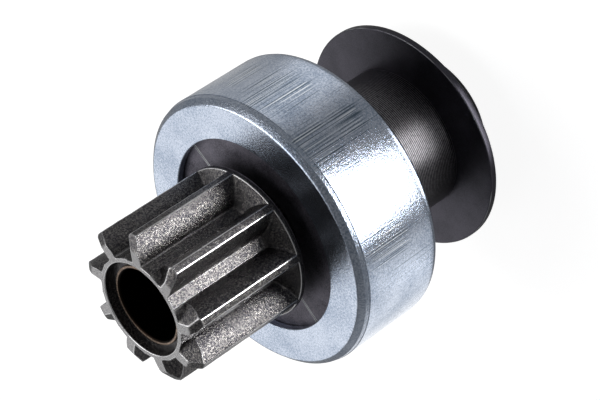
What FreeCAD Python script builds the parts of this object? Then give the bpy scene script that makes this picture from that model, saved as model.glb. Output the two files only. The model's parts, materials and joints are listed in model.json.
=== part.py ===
"""Starter drive: an overrunning roller clutch with a nine-tooth pinion, in millimetres.

The part stands on the rear end of its sleeve. Z runs along the armature shaft towards the
pinion, and z = 0 is the sleeve's rear end face.
"""
import FreeCAD, Part
import math
import os

import Sketcher

# Driving sizes. Radii and lengths are in millimetres, angles in degrees.
SIZES = {
    # bushes that run on the armature shaft
    "bush_bore_rad": 7.5,
    "bush_wall": 0.75,
    "bush_recess": 1.45,
    "front_bush_length": 16.5,
    "rear_bush_length": 14.0,
    "rear_bush_recess": 0.8,
    "bush_chamfer": 0.3,
    # helical splines in the sleeve, on the thicker part of the shaft
    "shaft_step": 1.5,
    "spline_depth": 1.7,
    "spline_length": 22.0,
    "spline_lead_length": 180.0,
    "spline_axial_width": 8.8,
    "spline_count": 10,
    # sleeve, fork flange and snap ring
    "relief_step": 0.3,
    "tail_wall": 3.5,
    "tail_length": 8.3,
    "tail_chamfer": 0.6,
    "shoulder_step": 0.55,
    "flange_width": 9.5,
    "flange_thick": 1.5,
    "groove_width": 20.2,
    "snap_thick": 1.2,
    "snap_depth": 0.8,
    "snap_width": 2.1,
    "snap_gap_angle": 28.0,
    "slip_fit": 0.05,
    # pinion's inner race and neck
    "race_wall": 4.75,
    "race_chamfer": 0.5,
    "race_end_gap": 0.3,
    "neck_step": 2.0,
    "neck_play": 0.2,
    # drum and its roller pockets
    "race_clearance": 0.3,
    "drum_floor_thick": 3.4,
    "ramp_wall": 7.073,
    "roller_rad": 3.5,
    "roller_length": 11.0,
    "roller_end_play": 0.2,
    "roller_count": 5,
    "wedge_angle": 7.0,
    "running_gap": 0.03,
    "roller_travel": 1.2,
    "pocket_back_gap": 0.6,
    "pocket_front_gap": 0.35,
    "plunger_rad": 2.05,
    "plunger_length": 4.0,
    "plunger_wall": 0.45,
    "plunger_head": 1.0,
    "spring_bore_depth": 8.0,
    "spring_wire": 0.5,
    "spring_coil_rad": 1.2,
    "spring_turns": 3.0,
    # washers in front of the drum
    "cover_thick": 1.2,
    "half_washer_thick": 2.0,
    "washer_play": 0.1,
    "split_angle": 5.6,
    "first_half_angle": 173.6,
    "split_gap_angle": 0.8,
    # shell
    "shell_wall": 1.5,
    "front_lip": 8.3,
    "nose_flat": 1.45,
    "nose_in": 0.5,
    "nose_drop": 0.6,
    "nose_length": 1.7,
    "rear_lip": 4.0,
    "rear_chamfer": 0.9,
    "lip_thick": 1.2,
    "lip_chamfer": 1.0,
    # pinion's teeth and collar
    "tooth_count": 9,
    "tooth_length": 25.54,
    "counterbore_step": 1.42,
    "counterbore_depth": 1.9,
    "front_ring": 0.93,
    "tooth_height": 5.1,
    "root_land": 2.4,
    "flank_rad": 7.4,
    "gap_end_half": 4.91,
    "gap_end_drop": 0.58,
    "tip_cone_drop": 2.4,
    "tip_cone_length": 1.5,
    "bevel_angle": 42.0,
    "bevel_start": 0.35,
    "bevel_reach": 4.0,
    "bevel_skin": 0.2,
    "runout_length": 2.45,
    "runout_rim": 0.2,
    "collar_gap": 1.56,
    "collar_width": 1.3,
    "collar_chamfer": 0.4,
    "pinion_clock": 9.0,
}

# Spare length by which a cut runs past the surface it opens into.
OVERRUN = 2.0


class Size:
    """A value together with the sheet formula that gives it."""

    def __init__(self, text, value):
        self.text = text
        self.value = value

    def __add__(self, other):
        other = as_size(other)
        return Size(f"({self.text} + {other.text})", self.value + other.value)

    def __sub__(self, other):
        other = as_size(other)
        return Size(f"({self.text} - {other.text})", self.value - other.value)

    def __rsub__(self, other):
        return as_size(other) - self

    def __mul__(self, other):
        other = as_size(other)
        return Size(f"({self.text} * {other.text})", self.value * other.value)

    def __truediv__(self, other):
        other = as_size(other)
        return Size(f"({self.text} / {other.text})", self.value / other.value)

    def __neg__(self):
        return Size(f"(-{self.text})", -self.value)


def as_size(number):
    """A Size as it is, or a plain number made into one."""
    return number if isinstance(number, Size) else Size(repr(float(number)), float(number))


def size(alias):
    """The driving size kept under this alias."""
    return Size(f"Sizes.{alias}", SIZES[alias])


def cosine(angle):
    return Size(f"cos({angle.text})", math.cos(math.radians(angle.value)))


def tangent(angle):
    return Size(f"tan({angle.text})", math.tan(math.radians(angle.value)))


def square_root(square):
    return Size(f"sqrt({square.text})", math.sqrt(square.value))


# Radii on the shaft's side: each follows from the one inside it.
BUSH_RAD = size("bush_bore_rad") + size("bush_wall")
SPLINE_MINOR = size("bush_bore_rad") + size("shaft_step")
SPLINE_MAJOR = SPLINE_MINOR + size("spline_depth")
SLEEVE_BORE = SPLINE_MAJOR + size("relief_step")
TAIL_RAD = SPLINE_MAJOR + size("tail_wall")
SLEEVE_RAD = TAIL_RAD + size("shoulder_step")
FLANGE_RAD = TAIL_RAD + size("flange_width")
SNAP_GROOVE_RAD = TAIL_RAD - size("snap_depth")
RACE_RAD = BUSH_RAD + size("race_wall")
NECK_RAD = RACE_RAD - size("neck_step")
DRUM_BORE = RACE_RAD + size("race_clearance")
COUNTERBORE_RAD = BUSH_RAD + size("counterbore_step")
ROOT_RAD = COUNTERBORE_RAD + size("front_ring")
TIP_RAD = ROOT_RAD + size("tooth_height")

# Roller clutch geometry in a pocket's own frame: the ramp is a flat across Y, and the roller
# runs along +X, out of the wedge and towards its spring.
ROLL_REACH = RACE_RAD + size("roller_rad")
RAMP_HEIGHT = ROLL_REACH * cosine(size("wedge_angle")) + size("roller_rad")
ROLLER_Y = RAMP_HEIGHT - size("roller_rad") - size("running_gap")
ROLLER_REACH = ROLL_REACH + size("running_gap")
ROLLER_X = square_root(ROLLER_REACH * ROLLER_REACH - ROLLER_Y * ROLLER_Y)
POCKET_START = ROLLER_X - size("roller_rad") - size("pocket_back_gap")
POCKET_END = ROLLER_X + size("roller_rad") + size("roller_travel") + size("pocket_front_gap")
PLUNGER_FACE = ROLLER_X + size("roller_rad") + size("running_gap")
SPRING_BORE_RAD = size("plunger_rad") + size("slip_fit")
SPRING_BORE_END = POCKET_END + size("spring_bore_depth")

# Drum and shell close round the ramps.
DRUM_RAD = RAMP_HEIGHT + size("ramp_wall")
SHELL_BORE = DRUM_RAD + size("slip_fit")
SHELL_RAD = SHELL_BORE + size("shell_wall")
SHELL_HOLE = SHELL_RAD - size("front_lip")
LIP_RAD = SHELL_RAD - size("rear_lip")

# Heights along the axis, from the sleeve's rear end up to the pinion's front face.
SHOULDER = size("tail_length") + size("flange_thick")
SHELL_BACK = SHOULDER + size("groove_width")
DRUM_BACK = SHELL_BACK + size("lip_thick")
DRUM_FLOOR = DRUM_BACK + size("drum_floor_thick")
DRUM_FRONT = DRUM_FLOOR + size("roller_length") + size("roller_end_play") * 2
COVER_FRONT = DRUM_FRONT + size("cover_thick")
HALF_WASHER_FRONT = COVER_FRONT + size("half_washer_thick")
SHELL_WALL_BACK = HALF_WASHER_FRONT + size("washer_play")
SHELL_FRONT = SHELL_WALL_BACK + size("shell_wall")
RACE_BACK = DRUM_FLOOR + size("race_end_gap")
RACE_FRONT = COVER_FRONT - size("neck_play")
COLLAR_BACK = SHELL_FRONT + size("collar_gap")
COLLAR_FRONT = COLLAR_BACK + size("collar_width")
PINION_FRONT = COLLAR_FRONT + size("tooth_length")
ROLLER_BACK = DRUM_FLOOR + size("roller_end_play")
ROLLER_MIDDLE = ROLLER_BACK + size("roller_length") / 2

doc = FreeCAD.newDocument("starter_drive")


def make_sheet():
    """The spreadsheet of driving sizes, one alias a row."""
    sheet = doc.addObject("Spreadsheet::Sheet", "Sizes")
    for row, (alias, value) in enumerate(SIZES.items(), start=1):
        sheet.set(f"A{row}", alias)
        sheet.set(f"B{row}", str(value))
        sheet.setAlias(f"B{row}", alias)
    doc.recompute()
    return sheet


def bind(thing, **formulas):
    """Tie properties of a feature to the sheet."""
    for name, formula in formulas.items():
        thing.setExpression(name, formula.text)


def new_body(label, turn=None):
    """A body with this label, turned about the axis by the given Size."""
    body = doc.addObject("PartDesign::Body", label)
    body.Label = label
    if turn is not None:
        body.Placement = FreeCAD.Placement(FreeCAD.Vector(), FreeCAD.Rotation(FreeCAD.Vector(0, 0, 1), 1))
        body.setExpression("Placement.Rotation.Angle", turn.text)
    return body


def origin_part(body, role):
    """One of the body's own origin planes or axes."""
    return next(item for item in body.Origin.OriginFeatures if item.Role == role)


def new_sketch(body, name, role, lift=None, shift=None):
    """A sketch on an origin plane, lifted along its normal and shifted along its own Y."""
    sketch = body.newObject("Sketcher::SketchObject", name)
    sketch.AttachmentSupport = [(origin_part(body, role), "")]
    sketch.MapMode = "FlatFace"
    if lift is not None:
        sketch.setExpression("AttachmentOffset.Base.z", lift.text)
    if shift is not None:
        sketch.setExpression("AttachmentOffset.Base.y", shift.text)
    return sketch


def tie(sketch, kind, *where, formula):
    """Add a dimension that follows its formula."""
    index = sketch.addConstraint(Sketcher.Constraint(kind, *where, formula.value))
    sketch.setExpression(f"Constraints[{index}]", formula.text)


def add_outline(sketch, corners, arcs=None):
    """Draw a closed outline through corners given as pairs of Sizes.

    arcs maps the number of the edge after a corner to its radius; a positive radius bulges to
    the right of the way round, a negative one to the left.
    """
    arcs = arcs or {}
    corners = [(as_size(across), as_size(up)) for across, up in corners]
    count = len(corners)
    for number, (across, up) in enumerate(corners):
        next_across, next_up = corners[(number + 1) % count]
        start = FreeCAD.Vector(across.value, up.value, 0)
        end = FreeCAD.Vector(next_across.value, next_up.value, 0)
        if number in arcs:
            sketch.addGeometry(arc_between(start, end, arcs[number].value), False)
        else:
            sketch.addGeometry(Part.LineSegment(start, end), False)
    ends = [edge_ends(sketch, number, corners) for number in range(count)]
    for number in range(count):
        following = (number + 1) % count
        sketch.addConstraint(
            Sketcher.Constraint("Coincident", number, ends[number][1], following, ends[following][0])
        )
    for number, (across, up) in enumerate(corners):
        tie(sketch, "DistanceX", -1, 1, number, ends[number][0], formula=across)
        tie(sketch, "DistanceY", -1, 1, number, ends[number][0], formula=up)
    for number, radius in arcs.items():
        tie(sketch, "Radius", number, formula=radius if radius.value > 0 else -radius)


def edge_ends(sketch, number, corners):
    """The point numbers of an edge's first and last end; an arc may be kept end first."""
    start = sketch.getPoint(number, 1)
    across, up = corners[number]
    if math.hypot(start.x - across.value, start.y - up.value) < 1e-6:
        return 1, 2
    return 2, 1


def arc_between(start, end, radius):
    """The short arc from start to end, bulging right for a positive radius."""
    chord = end - start
    half = chord.Length / 2
    rise = abs(radius) - math.sqrt(radius * radius - half * half)
    right = FreeCAD.Vector(chord.y, -chord.x, 0).normalize()
    middle = (start + end) / 2 + right * math.copysign(rise, radius)
    return Part.Arc(start, middle, end)


def add_circle(sketch, across, up, radius):
    """Draw a circle tied to its place and radius."""
    centre = FreeCAD.Vector(across.value, up.value, 0)
    sketch.addGeometry(Part.Circle(centre, FreeCAD.Vector(0, 0, 1), radius.value), False)
    tie(sketch, "Radius", 0, formula=radius)
    tie(sketch, "DistanceX", -1, 1, 0, 3, formula=across)
    tie(sketch, "DistanceY", -1, 1, 0, 3, formula=up)


def turn_profile(body, name, corners, arcs=None, sweep=None):
    """Revolve an outline of (radius, height) corners about the body's Z axis."""
    sketch = new_sketch(body, f"{name}_profile", "XZ_Plane")
    add_outline(sketch, corners, arcs)
    turned = body.newObject("PartDesign::Revolution", name)
    turned.Profile = sketch
    turned.ReferenceAxis = (sketch, ["V_Axis"])
    turned.Angle = 360
    if sweep is not None:
        turned.setExpression("Angle", sweep.text)
    sketch.Visibility = False
    body.Tip = turned
    return turned


def cut(body, name, sketch, depth, outward=False):
    """Pocket a sketch to a depth, against its normal or, if outward, along it."""
    pocket = body.newObject("PartDesign::Pocket", name)
    pocket.Profile = sketch
    bind(pocket, Length=depth)
    pocket.Reversed = outward
    body.Tip = pocket
    return pocket


def repeat_round(body, name, features, count):
    """Repeat features round the body's Z axis."""
    pattern = body.newObject("PartDesign::PolarPattern", name)
    pattern.Originals = features
    pattern.Axis = (origin_part(body, "Z_Axis"), [""])
    pattern.Angle = 360
    bind(pattern, Occurrences=count)
    body.Tip = pattern
    return pattern


def make_flange():
    """Pressed disc that the shift fork pulls on, seated against the sleeve's shoulder."""
    body = new_body("fork_flange")
    inner = TAIL_RAD + size("slip_fit")
    back = size("tail_length")
    turn_profile(body, "disc", [
        (inner, back),
        (FLANGE_RAD, back),
        (FLANGE_RAD, SHOULDER),
        (inner, SHOULDER),
    ])
    return body


def make_snap_ring():
    """Open ring in the sleeve's groove that holds the flange."""
    body = new_body("snap_ring")
    inner = SNAP_GROOVE_RAD + size("slip_fit")
    outer = inner + size("snap_width")
    back = size("tail_length") - size("snap_thick")
    turn_profile(body, "ring", [
        (inner, back),
        (outer, back),
        (outer, size("tail_length")),
        (inner, size("tail_length")),
    ], sweep=360 - size("snap_gap_angle"))
    return body


def make_drive_sleeve():
    """Sleeve and outer race in one piece: spline bore below, roller pockets above."""
    body = new_body("drive_sleeve")
    chamfer = size("tail_chamfer")
    snap_back = size("tail_length") - size("snap_thick")
    lip = size("lip_chamfer")
    turn_profile(body, "sleeve_and_drum", [
        (SPLINE_MINOR, 0),
        (TAIL_RAD - chamfer, 0),
        (TAIL_RAD, chamfer),
        (TAIL_RAD, snap_back),
        (SNAP_GROOVE_RAD, snap_back),
        (SNAP_GROOVE_RAD, size("tail_length")),
        (TAIL_RAD, size("tail_length")),
        (TAIL_RAD, SHOULDER),
        (SLEEVE_RAD, SHOULDER),
        (SLEEVE_RAD, DRUM_BACK),
        (DRUM_RAD - lip, DRUM_BACK),
        (DRUM_RAD, DRUM_BACK + lip),
        (DRUM_RAD, DRUM_FRONT),
        (DRUM_BORE, DRUM_FRONT),
        (DRUM_BORE, DRUM_FLOOR),
        (SLEEVE_BORE, DRUM_FLOOR),
        (SLEEVE_BORE, size("spline_length")),
        (SPLINE_MINOR, size("spline_length")),
    ])
    add_splines(body)
    add_roller_pockets(body)
    return body


def add_splines(body):
    """Helical spline grooves, swept past both ends of the splined bore."""
    sketch = new_sketch(body, "spline_section", "XZ_Plane")
    half = size("spline_axial_width") / 2
    inner = SPLINE_MINOR - OVERRUN / 4
    middle = -(half + OVERRUN)
    add_outline(sketch, [
        (inner, middle - half),
        (SPLINE_MAJOR, middle - half),
        (SPLINE_MAJOR, middle + half),
        (inner, middle + half),
    ])
    groove = body.newObject("PartDesign::SubtractiveHelix", "spline_groove")
    groove.Profile = sketch
    groove.ReferenceAxis = (sketch, ["V_Axis"])
    groove.Mode = "pitch-height-angle"
    groove.Angle = 0
    sweep = size("spline_length") + size("spline_axial_width") + OVERRUN * 2
    bind(groove, Pitch=size("spline_lead_length"), Height=sweep)
    body.Tip = groove
    splines = repeat_round(body, "splines", [groove], size("spline_count"))
    groove.Refine = False
    splines.Refine = False


def add_roller_pockets(body):
    """Ramped pockets, each with a blind bore for the spring and its plunger."""
    sketch = new_sketch(body, "pocket_outline", "XY_Plane", lift=DRUM_FRONT)
    add_outline(sketch, [
        (POCKET_START, NECK_RAD),
        (POCKET_END, NECK_RAD),
        (POCKET_END, RAMP_HEIGHT),
        (POCKET_START, RAMP_HEIGHT),
    ])
    pocket = cut(body, "roller_pocket", sketch, DRUM_FRONT - DRUM_FLOOR)
    mouth = new_sketch(body, "spring_bore_circle", "YZ_Plane", lift=POCKET_END - size("pocket_front_gap"))
    add_circle(mouth, ROLLER_Y, ROLLER_MIDDLE, SPRING_BORE_RAD)
    bore = cut(body, "spring_bore", mouth, size("spring_bore_depth") + size("pocket_front_gap"), outward=True)
    repeat_round(body, "clutch_pockets", [pocket, bore], size("roller_count"))


def make_shell():
    """Plated cup over the drum, its rear edge rolled in behind it."""
    body = new_body("clutch_shell")
    lip = size("lip_chamfer")
    rear = size("rear_chamfer")
    turn_profile(body, "cup", [
        (SHELL_HOLE, SHELL_WALL_BACK),
        (SHELL_BORE, SHELL_WALL_BACK),
        (SHELL_BORE, DRUM_BACK + lip),
        (SHELL_BORE - lip, DRUM_BACK),
        (LIP_RAD, DRUM_BACK),
        (LIP_RAD, SHELL_BACK),
        (SHELL_RAD - rear, SHELL_BACK),
        (SHELL_RAD, SHELL_BACK + rear),
        (SHELL_RAD, SHELL_FRONT - size("nose_length")),
        (SHELL_RAD - size("nose_in"), SHELL_FRONT - size("nose_drop")),
        (SHELL_RAD - size("nose_flat"), SHELL_FRONT),
        (SHELL_HOLE, SHELL_FRONT),
    ])
    return body


def make_half_washer(label, start, end):
    """Half of the split washer that holds the pinion by its neck, between two split lines."""
    gap = size("split_gap_angle")
    body = new_body(label, start + gap / 2)
    inner = NECK_RAD + size("neck_play")
    outer = SHELL_BORE - size("neck_play")
    turn_profile(body, "half", [
        (inner, COVER_FRONT),
        (outer, COVER_FRONT),
        (outer, HALF_WASHER_FRONT),
        (inner, HALF_WASHER_FRONT),
    ], sweep=end - start - gap)
    return body


def make_cover_washer():
    """Flat ring that closes the roller pockets."""
    body = new_body("cover_washer")
    turn_profile(body, "ring", [
        (DRUM_BORE, DRUM_FRONT),
        (DRUM_RAD, DRUM_FRONT),
        (DRUM_RAD, COVER_FRONT),
        (DRUM_BORE, COVER_FRONT),
    ])
    return body


def make_pinion():
    """Gear, collar, neck and inner race turned and forged from one piece."""
    body = new_body("pinion", size("pinion_clock"))
    counterbore_floor = PINION_FRONT - size("counterbore_depth")
    turn_profile(body, "blank", [
        (BUSH_RAD, RACE_BACK),
        (RACE_RAD - size("race_chamfer"), RACE_BACK),
        (RACE_RAD, RACE_BACK + size("race_chamfer")),
        (RACE_RAD, RACE_FRONT),
        (NECK_RAD, RACE_FRONT),
        (NECK_RAD, COLLAR_BACK),
        (TIP_RAD - size("collar_chamfer"), COLLAR_BACK),
        (TIP_RAD, COLLAR_BACK + size("collar_chamfer")),
        (TIP_RAD, PINION_FRONT - size("tip_cone_length")),
        (TIP_RAD - size("tip_cone_drop"), PINION_FRONT),
        (COUNTERBORE_RAD, PINION_FRONT),
        (COUNTERBORE_RAD, counterbore_floor),
        (BUSH_RAD, counterbore_floor),
    ])
    add_tooth_gaps(body)
    add_runout(body)
    add_tooth_bevels(body)
    return body


def add_tooth_gaps(body):
    """Gaps with convex flanks, open at the front and ending at the collar."""
    sketch = new_sketch(body, "gap_outline", "XY_Plane", lift=PINION_FRONT)
    half_root = size("root_land") / 2
    half_tip = size("gap_end_half")
    flank_end = TIP_RAD - size("gap_end_drop")
    outside = TIP_RAD + OVERRUN
    add_outline(sketch, [
        (-half_root, ROOT_RAD),
        (half_root, ROOT_RAD),
        (half_tip, flank_end),
        (half_tip, outside),
        (-half_tip, outside),
        (-half_tip, flank_end),
    ], arcs={1: -size("flank_rad"), 5: -size("flank_rad")})
    gap = cut(body, "tooth_gap", sketch, size("tooth_length"))
    repeat_round(body, "tooth_gaps", [gap], size("tooth_count"))


def add_runout(body):
    """Sloping wall that ends each gap, from the root land up to the collar's edge."""
    top = TIP_RAD - size("runout_rim")
    inner = ROOT_RAD - OVERRUN / 4
    slope = size("runout_length") / (top - ROOT_RAD)
    turn_profile(body, "runout", [
        (inner, COLLAR_FRONT),
        (top, COLLAR_FRONT),
        (inner, COLLAR_FRONT + slope * (top - inner)),
    ])


def add_tooth_bevels(body):
    """Lead-in bevel on one side of each tooth's front end."""
    floor = ROOT_RAD - size("bevel_skin")
    sketch = new_sketch(body, "bevel_outline", "XZ_Plane", lift=floor)
    start = -size("bevel_start")
    reach = size("bevel_reach")
    slope = tangent(size("bevel_angle"))
    add_outline(sketch, [
        (start - OVERRUN, PINION_FRONT + slope * OVERRUN),
        (reach, PINION_FRONT - slope * (reach - start)),
        (reach, PINION_FRONT + slope * OVERRUN),
    ])
    bevel = cut(body, "tooth_bevel", sketch, TIP_RAD - floor + OVERRUN, outward=True)
    repeat_round(body, "tooth_bevels", [bevel], size("tooth_count"))


def make_bush(label, back, length):
    """Bronze bush pressed into the pinion's bore."""
    body = new_body(label)
    bore = size("bush_bore_rad")
    chamfer = size("bush_chamfer")
    front = back + length
    turn_profile(body, "bush", [
        (bore + chamfer, back),
        (BUSH_RAD, back),
        (BUSH_RAD, front),
        (bore + chamfer, front),
        (bore, front - chamfer),
        (bore, back + chamfer),
    ])
    return body


def pocket_turn(number):
    """How far a roller's pocket is turned from the first one."""
    return as_size(360) * (number - 1) / size("roller_count")


def make_roller(number):
    """Locking roller, lying between its ramp and the pinion's race."""
    body = new_body(f"roller_{number}", pocket_turn(number))
    sketch = new_sketch(body, "roller_circle", "XY_Plane", lift=ROLLER_BACK)
    add_circle(sketch, ROLLER_X, ROLLER_Y, size("roller_rad"))
    pad = body.newObject("PartDesign::Pad", "roller_pin")
    pad.Profile = sketch
    bind(pad, Length=size("roller_length"))
    return body


def make_plunger(number):
    """Cup that carries the spring's push to the roller."""
    body = new_body(f"roller_plunger_{number}", pocket_turn(number))
    outer = new_sketch(body, "plunger_circle", "YZ_Plane", lift=PLUNGER_FACE)
    add_circle(outer, ROLLER_Y, ROLLER_MIDDLE, size("plunger_rad"))
    pad = body.newObject("PartDesign::Pad", "plunger_body")
    pad.Profile = outer
    bind(pad, Length=size("plunger_length"))
    inner = new_sketch(body, "plunger_hollow", "YZ_Plane", lift=PLUNGER_FACE + size("plunger_length"))
    add_circle(inner, ROLLER_Y, ROLLER_MIDDLE, size("plunger_rad") - size("plunger_wall"))
    cut(body, "hollow", inner, size("plunger_length") - size("plunger_head"))
    return body


def make_spring(number):
    """Coil spring between the plunger's floor and the blind end of its bore."""
    body = new_body(f"roller_spring_{number}", pocket_turn(number))
    sketch = new_sketch(body, "wire_section", "XY_Plane", lift=ROLLER_MIDDLE, shift=ROLLER_Y)
    wire = size("spring_wire")
    start = PLUNGER_FACE + size("plunger_head") + size("slip_fit")
    low = size("spring_coil_rad") - wire / 2
    add_outline(sketch, [
        (start, low),
        (start + wire, low),
        (start + wire, low + wire),
        (start, low + wire),
    ])
    coil = body.newObject("PartDesign::AdditiveHelix", "coil")
    coil.Profile = sketch
    coil.ReferenceAxis = (sketch, ["H_Axis"])
    coil.Mode = "height-turns-angle"
    coil.Angle = 0
    rise = SPRING_BORE_END - size("slip_fit") - start - wire
    bind(coil, Height=rise, Turns=size("spring_turns"))
    body.Tip = coil
    return body


def make_parts():
    """Every piece of the drive, in the order in which it is put together."""
    parts = [
        make_drive_sleeve(),
        make_flange(),
        make_snap_ring(),
    ]
    for number in range(1, SIZES["roller_count"] + 1):
        parts.append(make_roller(number))
        parts.append(make_plunger(number))
        parts.append(make_spring(number))
    front_bush_back = PINION_FRONT - size("bush_recess") - size("front_bush_length")
    rear_bush_back = RACE_BACK + size("rear_bush_recess")
    split = size("split_angle")
    other_split = split + size("first_half_angle")
    parts += [
        make_cover_washer(),
        make_half_washer("half_washer_1", split, other_split),
        make_half_washer("half_washer_2", other_split, split + 360),
        make_pinion(),
        make_bush("front_bush", front_bush_back, size("front_bush_length")),
        make_bush("rear_bush", rear_bush_back, size("rear_bush_length")),
        make_shell(),
    ]
    return parts


def check(parts):
    """Stop if any object failed or any piece isn't one sound solid."""
    for item in doc.Objects:
        if "Invalid" in item.State or "Error" in item.State:
            raise RuntimeError(f"{item.Name} failed: {item.State}")
    for part in parts:
        shape = part.Shape
        if shape.isNull() or not shape.isValid() or len(shape.Solids) != 1:
            raise RuntimeError(f"{part.Label} isn't one valid solid")


def write(parts):
    """One STEP file for each piece, named after it."""
    os.makedirs("parts", exist_ok=True)
    for part in parts:
        part.Shape.exportStep(f"parts/{part.Label}.step")
        print(f"{part.Label}: {part.Shape.Volume:.1f} mm3")


make_sheet()
pieces = make_parts()
doc.recompute()
check(pieces)
write(pieces)
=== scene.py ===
"""Dress a starter drive: forged pinion, zinc-plated clutch shell, turned sleeve and fork flange.

Lengths are written in millimetres and turned to metres when a mesh is made. Outer radii and end
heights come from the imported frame, so a new pack carries them into these surfaces.
"""

import json
import logging
import math
from dataclasses import dataclass, field
from enum import Enum
from typing import Any, Mapping, Optional, Sequence

import bpy
import numpy as np
from mathutils import Matrix, Vector

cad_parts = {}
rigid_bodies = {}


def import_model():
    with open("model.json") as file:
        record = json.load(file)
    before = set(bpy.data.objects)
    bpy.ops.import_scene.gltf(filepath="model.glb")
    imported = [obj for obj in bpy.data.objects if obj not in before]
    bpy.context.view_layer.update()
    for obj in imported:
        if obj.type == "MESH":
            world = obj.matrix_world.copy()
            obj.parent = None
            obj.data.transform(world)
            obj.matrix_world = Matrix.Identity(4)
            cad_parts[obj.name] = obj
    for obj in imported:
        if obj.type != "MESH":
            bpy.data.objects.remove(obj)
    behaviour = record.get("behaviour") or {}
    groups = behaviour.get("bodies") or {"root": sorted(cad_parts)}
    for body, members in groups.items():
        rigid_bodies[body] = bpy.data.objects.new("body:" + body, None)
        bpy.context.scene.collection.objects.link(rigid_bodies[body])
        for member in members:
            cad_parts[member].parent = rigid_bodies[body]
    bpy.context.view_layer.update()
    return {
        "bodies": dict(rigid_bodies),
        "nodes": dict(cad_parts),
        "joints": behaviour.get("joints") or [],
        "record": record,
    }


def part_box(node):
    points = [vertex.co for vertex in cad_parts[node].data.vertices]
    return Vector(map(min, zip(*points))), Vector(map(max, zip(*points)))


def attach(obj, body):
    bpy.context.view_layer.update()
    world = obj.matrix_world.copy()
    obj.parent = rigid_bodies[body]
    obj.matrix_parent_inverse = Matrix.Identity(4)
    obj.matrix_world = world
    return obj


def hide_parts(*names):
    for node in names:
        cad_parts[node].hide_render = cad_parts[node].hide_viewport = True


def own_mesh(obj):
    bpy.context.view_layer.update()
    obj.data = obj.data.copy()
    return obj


LOG = logging.getLogger("starter_drive")

MM = 0.001
UV_NAME = "turned"
UV_UNIT = 100.0
SCUFF_NAME = "scuff"
# On the pinion the wear mark also carries the painted highlight lines along the root fillets.
WEAR_NAME = "wear"

Tree = bpy.types.NodeTree
Socket = bpy.types.NodeSocket
Span = tuple[float, float]
Row = tuple[np.ndarray, np.ndarray]


class Body(Enum):
    """The moving bodies that pieces ride on."""

    DRIVE = "drive"
    PINION = "pinion"


class Slot(Enum):
    """The record's material slots, listed with the pieces."""

    PLATED = "plated_steel"
    PINION = "pinion_steel"
    SLEEVE = "sleeve_steel"
    FLANGE = "flange_steel"
    WASHER = "washer_steel"
    SPRING = "spring_steel"
    BRONZE = "bronze"


# Geometry on grids


@dataclass
class Surface:
    """A mesh worked out as arrays, in millimetres.

    points is (N, 3), quads is (F, 4), caps holds any faces with more corners, uv gives one
    (U, V) pair for each corner of the quads in millimetres along the surface, and marks holds
    one value for each point under an attribute's name.
    """

    points: np.ndarray
    quads: np.ndarray
    caps: Sequence[Sequence[int]] = ()
    uv: Optional[np.ndarray] = None
    marks: Mapping[str, np.ndarray] = field(default_factory=dict)


def closed_grid(rows: int, columns: int, wrap_columns: bool = True) -> np.ndarray:
    """Quads of a grid whose rows close on themselves, and its columns too if asked.

    Args:
        rows: Points along the profile, which closes on itself.
        columns: Points round the axis.
        wrap_columns: Whether the last column joins the first.

    Returns:
        Corner numbers, one row of four for each quad.
    """
    row = np.arange(rows)
    column = np.arange(columns if wrap_columns else columns - 1)
    row, column = np.meshgrid(row, column, indexing="ij")
    next_row = (row + 1) % rows
    next_column = (column + 1) % columns
    corners = [
        row * columns + column,
        row * columns + next_column,
        next_row * columns + next_column,
        next_row * columns + column,
    ]
    return np.stack(corners, axis=-1).reshape(-1, 4)


def rounded(corners: Sequence[tuple[float, float, float]], steps: int = 5) -> np.ndarray:
    """A closed outline with each corner rounded.

    Each corner is (across, up, radius). Its arc touches both edges at the distance radius
    times the tangent of half the turn, and is sampled evenly by angle.

    Args:
        corners: The outline's corners in order; a radius of 0 keeps the corner sharp.
        steps: Points on each arc, less one.

    Returns:
        Points of the outline, (N, 2).
    """
    places = np.array([corner[:2] for corner in corners], float)
    outline = []
    for number, (across, up, radius) in enumerate(corners):
        here = np.array([across, up])
        if radius <= 0:
            outline.append(here[None])
            continue
        back = places[number - 1] - here
        ahead = places[(number + 1) % len(places)] - here
        back /= np.linalg.norm(back)
        ahead /= np.linalg.norm(ahead)
        half = math.acos(np.clip(back @ ahead, -1, 1)) / 2
        middle = (back + ahead) / np.linalg.norm(back + ahead)
        centre = here + middle * radius / math.sin(half)
        start = here + back * radius / math.tan(half) - centre
        end = here + ahead * radius / math.tan(half) - centre
        turn = math.pi - 2 * half
        share = np.linspace(0, 1, steps + 1)[:, None]
        arc = (np.sin((1 - share) * turn) * start + np.sin(share * turn) * end) / math.sin(turn)
        outline.append(centre + arc)
    return np.concatenate(outline)


def densified(outline: np.ndarray, longest: float) -> np.ndarray:
    """Split a closed outline's long edges into equal parts no longer than this length.

    Args:
        outline: Points of the outline, (N, 2).
        longest: The longest edge to leave, in millimetres.

    Returns:
        The outline with the extra points.
    """
    following = np.roll(outline, -1, axis=0)
    parts = np.maximum(np.ceil(np.linalg.norm(following - outline, axis=1) / longest), 1).astype(int)
    owner = np.repeat(np.arange(len(outline)), parts)
    first = np.concatenate([[0], np.cumsum(parts)[:-1]])
    share = ((np.arange(len(owner)) - first[owner]) / parts[owner])[:, None]
    return outline[owner] * (1 - share) + following[owner] * share


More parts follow.
